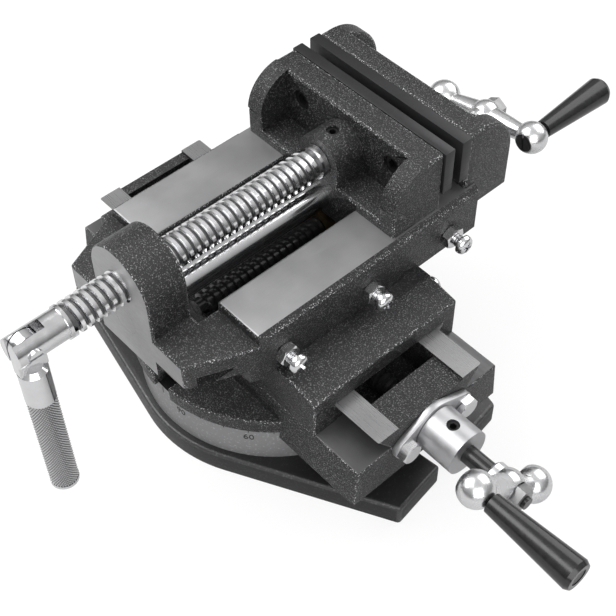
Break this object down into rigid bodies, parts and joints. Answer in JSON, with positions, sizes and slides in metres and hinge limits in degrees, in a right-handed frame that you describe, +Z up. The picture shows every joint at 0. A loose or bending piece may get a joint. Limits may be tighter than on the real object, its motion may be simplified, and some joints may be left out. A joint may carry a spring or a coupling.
{
  "type": "cross slide vise",
  "caption": "Machine vise on crossed dovetail slides and a swivel base; ball cranks feed the slides and a screw with a folding handle closes the jaws.",
  "frame": {"origin": "swivel axis at the underside of the base", "axes": "+Z up, +Y along the vise screw towards the fixed jaw, +X along the lower slide towards its crank"},
  "size_m": [0.3173, 0.3368, 0.1415],
  "materials": {
    "painted_iron": "glossy textured black paint over cast iron",
    "ground_steel": "ground",
    "black_oxide": "black oxide",
    "chrome": "polished plating",
    "aluminium": "satin",
    "bronze": "machined",
    "black_plastic": "gloss"
  },
  "bodies": {
    "base": {"base": "painted_iron"},
    "lower_slide": {"lower_slide": "painted_iron", "swivel_t_bolts": "black_oxide", "swivel_nuts": "black_oxide", "lower_bearing_bracket": "aluminium", "lower_bracket_bolts": "chrome"},
    "lower_screw": {"lower_feed_screw": "black_oxide", "lower_thrust_collar": "aluminium", "lower_collar_set_screw": "black_oxide", "lower_crank": "chrome", "lower_crank_nut": "chrome", "lower_handle_stud": "chrome"},
    "lower_grip": {"lower_grip": "black_plastic"},
    "saddle": {"saddle": "painted_iron", "lower_gib": "ground_steel", "lower_gib_screws": "chrome", "lower_gib_nuts": "chrome", "lower_feed_nut": "bronze", "lower_feed_nut_screws": "black_oxide", "upper_feed_nut": "bronze", "upper_feed_nut_screws": "black_oxide"},
    "vise_body": {"vise_body": "painted_iron", "guide_bar": "chrome", "upper_gib": "ground_steel", "upper_gib_screws": "chrome", "upper_gib_nuts": "chrome", "upper_bearing_bracket": "aluminium", "upper_bracket_bolts": "chrome", "fixed_jaw_plate": "black_oxide", "fixed_jaw_plate_screws": "black_oxide"},
    "upper_screw": {"upper_feed_screw": "black_oxide", "upper_thrust_collar": "aluminium", "upper_collar_set_screw": "black_oxide", "upper_crank": "chrome", "upper_crank_nut": "chrome", "upper_handle_stud": "chrome"},
    "upper_grip": {"upper_grip": "black_plastic"},
    "movable_jaw": {"movable_jaw": "painted_iron", "movable_jaw_plate": "black_oxide", "movable_jaw_plate_screws": "black_oxide", "jaw_retaining_screw": "black_oxide"},
    "vise_screw": {"vise_screw": "chrome", "handle_pivot_screw": "chrome"},
    "crank_handle": {"crank_handle": "chrome"}
  },
  "joints": [
    {"name": "swivel", "type": "hinge", "parent": "base", "child": "lower_slide", "pos_m": [0, 0, 0.037], "axis": [0, 0, 1], "continuous": true},
    {"name": "lower_screw_turn", "type": "hinge", "parent": "lower_slide", "child": "lower_screw", "pos_m": [0.1045, 0, 0.054], "axis": [1, 0, 0], "range_deg": [-4505, 4505]},
    {"name": "lower_grip_spin", "type": "hinge", "parent": "lower_screw", "child": "lower_grip", "pos_m": [0.1508, -0.02227, 0.07627], "axis": [1, 0, 0], "continuous": true},
    {"name": "saddle_slide", "type": "slide", "parent": "lower_slide", "child": "saddle", "axis": [1, 0, 0], "range_m": [-0.05, 0.05]},
    {"name": "cross_slide", "type": "slide", "parent": "saddle", "child": "vise_body", "axis": [0, 1, 0], "range_m": [-0.047, 0.032]},
    {"name": "upper_screw_turn", "type": "hinge", "parent": "vise_body", "child": "upper_screw", "pos_m": [0, 0.1056, 0.078], "axis": [0, 1, 0], "range_deg": [-4235, 2885]},
    {"name": "upper_grip_spin", "type": "hinge", "parent": "upper_screw", "child": "upper_grip", "pos_m": [0.03102, 0.1466, 0.08347], "axis": [0, 1, 0], "continuous": true},
    {"name": "jaw_slide", "type": "slide", "parent": "vise_body", "child": "movable_jaw", "axis": [0, 1, 0], "range_m": [-0.0881, 0.0046]},
    {"name": "vise_screw_turn", "type": "hinge", "parent": "movable_jaw", "child": "vise_screw", "pos_m": [0, -0.083, 0.122], "axis": [0, 1, 0], "range_deg": [-7920, 405]},
    {"name": "handle_fold", "type": "hinge", "parent": "vise_screw", "child": "crank_handle", "pos_m": [0, -0.129, 0.122], "axis": [1, 0, 0], "range_deg": [-180, 0]}
  ],
  "couplings": [
    {"joint": "lower_screw_turn", "follows": "saddle_slide", "rad_per_m": -1570.8},
    {"joint": "upper_screw_turn", "follows": "cross_slide", "rad_per_m": 1570.8},
    {"joint": "jaw_slide", "follows": "vise_screw_turn", "m_per_rad": 0.00063662}
  ]
}
